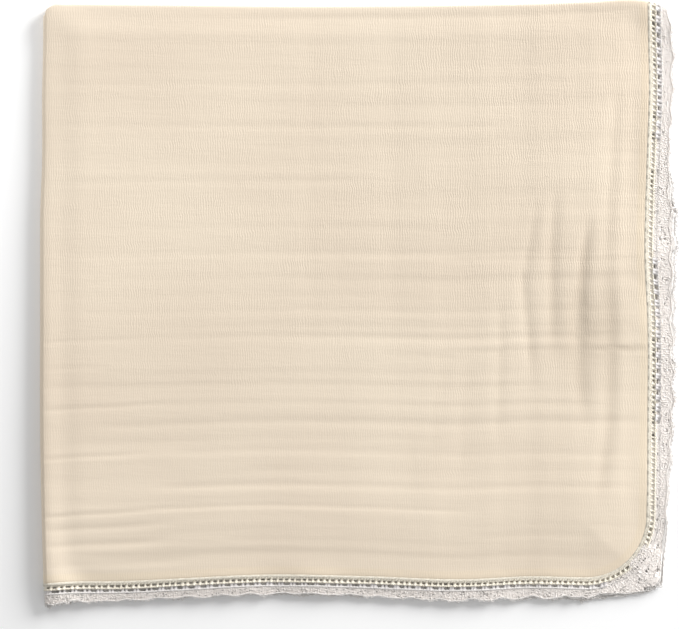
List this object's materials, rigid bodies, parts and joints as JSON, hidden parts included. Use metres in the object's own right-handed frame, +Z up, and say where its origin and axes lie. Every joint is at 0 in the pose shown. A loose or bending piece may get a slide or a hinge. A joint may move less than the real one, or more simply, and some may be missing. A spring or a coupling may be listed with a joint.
{
  "type": "folded swaddle blanket",
  "caption": "Light double-gauze baby blanket folded in quarters, with rounded corners and a crocheted lace edging round its open edges.",
  "frame": {"origin": "under the middle of the folded blanket, on the surface that it lies on", "axes": "+X to the right along the top fold, away from the left fold; +Y towards the top fold; +Z up from the surface"},
  "size_m": [0.6068, 0.5746, 0.0136],
  "materials": {
    "muslin": "matt crinkled double gauze, warm cream",
    "lace": "matt crocheted cotton yarn, off-white"
  },
  "bodies": {
    "root": {"muslin": "muslin", "lace_trim": "lace"}
  },
  "joints": []
}
